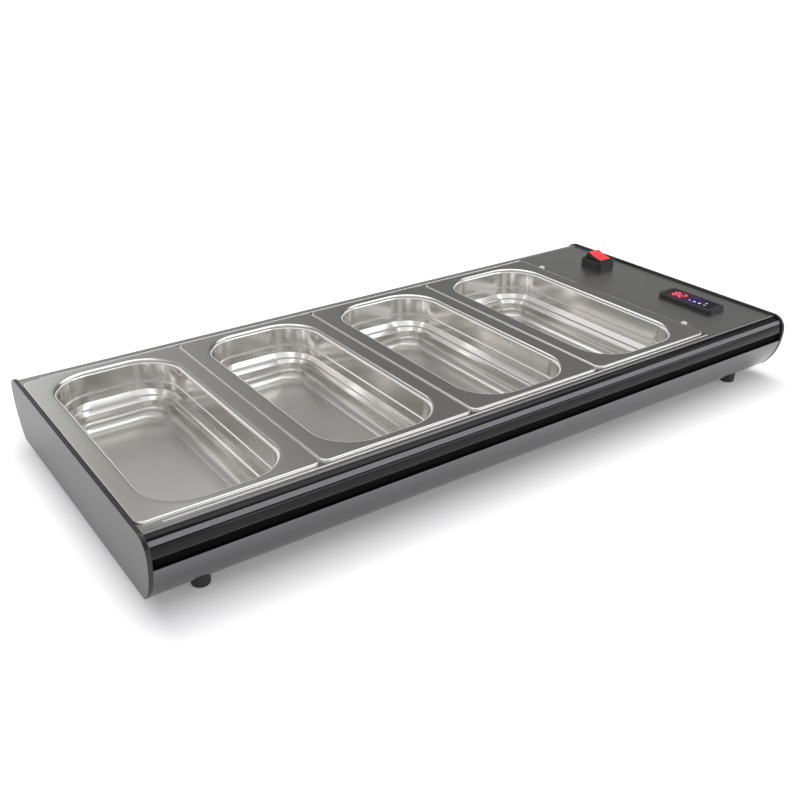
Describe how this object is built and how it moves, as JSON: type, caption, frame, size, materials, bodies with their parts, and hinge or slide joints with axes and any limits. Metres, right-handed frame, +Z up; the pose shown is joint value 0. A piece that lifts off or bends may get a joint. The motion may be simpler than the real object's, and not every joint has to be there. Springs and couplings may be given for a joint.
{
  "type": "bain marie",
  "caption": "Low counter-top food warmer: a row of lift-out gastronorm pans in a flat deck with curved front and rear, end cheeks, a rocker switch and a digital thermostat.",
  "frame": {"origin": "centre of the footprint on the surface that the feet stand on", "axes": "+X along the row of pans towards the control bay, +Y to the rear, +Z up"},
  "size_m": [0.828, 0.38, 0.099],
  "materials": {
    "cheek_paint": "satin dark grey powder coat",
    "nosing_anodised": "dark anodised extrusion, satin",
    "panel_steel": "satin dark grey sheet",
    "top_steel": "fine satin sheet",
    "pan_steel": "satin stainless, deep drawn",
    "bare_steel": "mill finish",
    "spreader_aluminium": "mill finish",
    "black_plastic": "satin black moulding",
    "strip_rubber": "matt black",
    "foot_rubber": "matt black",
    "lens": "glossy smoked lens",
    "red_rocker": "glossy red, translucent",
    "screw_steel": "bright",
    "zinc": "zinc plated",
    "heater_silicone": "red-brown silicone",
    "insulation": "compressed mineral board",
    "brass": "bright",
    "board": "circuit board",
    "terminal_plastic": "ivory moulding"
  },
  "bodies": {
    "housing": {"base_screws": "zinc", "base_tray": "bare_steel", "bay_partition": "bare_steel", "control_cover": "top_steel", "cord_bushing": "black_plastic", "cover_nuts": "zinc", "cover_screws": "screw_steel", "earth_nut": "zinc", "earth_stud": "brass", "foot_front_left": "foot_rubber", "foot_front_right": "foot_rubber", "foot_nuts": "zinc", "foot_rear_left": "foot_rubber", "foot_rear_right": "foot_rubber", "foot_screws": "zinc", "front_gap_strip": "strip_rubber", "front_lower_panel": "panel_steel", "front_nosing": "nosing_anodised", "heat_spreader": "spreader_aluminium", "heater_pad_1": "heater_silicone", "heater_pad_2": "heater_silicone", "heater_pad_3": "heater_silicone", "heater_pad_4": "heater_silicone", "insulation_board": "insulation", "left_cheek": "cheek_paint", "left_cheek_rail": "bare_steel", "left_corner_keys": "spreader_aluminium", "partition_grommet": "strip_rubber", "rear_gap_strip": "strip_rubber", "rear_lower_panel": "panel_steel", "rear_nosing": "nosing_anodised", "right_cheek": "cheek_paint", "right_cheek_rail": "bare_steel", "right_corner_keys": "spreader_aluminium", "safety_cutout": "black_plastic", "switch_housing": "black_plastic", "switch_terminals": "brass", "temperature_probe": "spreader_aluminium", "terminal_block": "terminal_plastic", "terminal_screws": "brass", "thermostat_board": "board", "thermostat_case": "black_plastic", "thermostat_clips": "terminal_plastic", "thermostat_display": "lens", "thermostat_lens": "lens", "thermostat_terminals": "board", "top_deck": "top_steel", "well_liner": "bare_steel"},
    "pan_1": {"pan_1": "pan_steel"},
    "pan_2": {"pan_2": "pan_steel"},
    "pan_3": {"pan_3": "pan_steel"},
    "pan_4": {"pan_4": "pan_steel"},
    "rocker": {"switch_rocker": "red_rocker"}
  },
  "joints": [
    {"name": "pan_1_lift", "type": "slide", "parent": "housing", "child": "pan_1", "axis": [0, 0, 1], "range_m": [0, 0.1]},
    {"name": "pan_2_lift", "type": "slide", "parent": "housing", "child": "pan_2", "axis": [0, 0, 1], "range_m": [0, 0.1]},
    {"name": "pan_3_lift", "type": "slide", "parent": "housing", "child": "pan_3", "axis": [0, 0, 1], "range_m": [0, 0.1]},
    {"name": "pan_4_lift", "type": "slide", "parent": "housing", "child": "pan_4", "axis": [0, 0, 1], "range_m": [0, 0.1]},
    {"name": "rocker_turn", "type": "hinge", "parent": "housing", "child": "rocker", "pos_m": [0.3716, 0.0895, 0.087], "axis": [1, 0, 0], "range_deg": [-32, 0]}
  ]
}
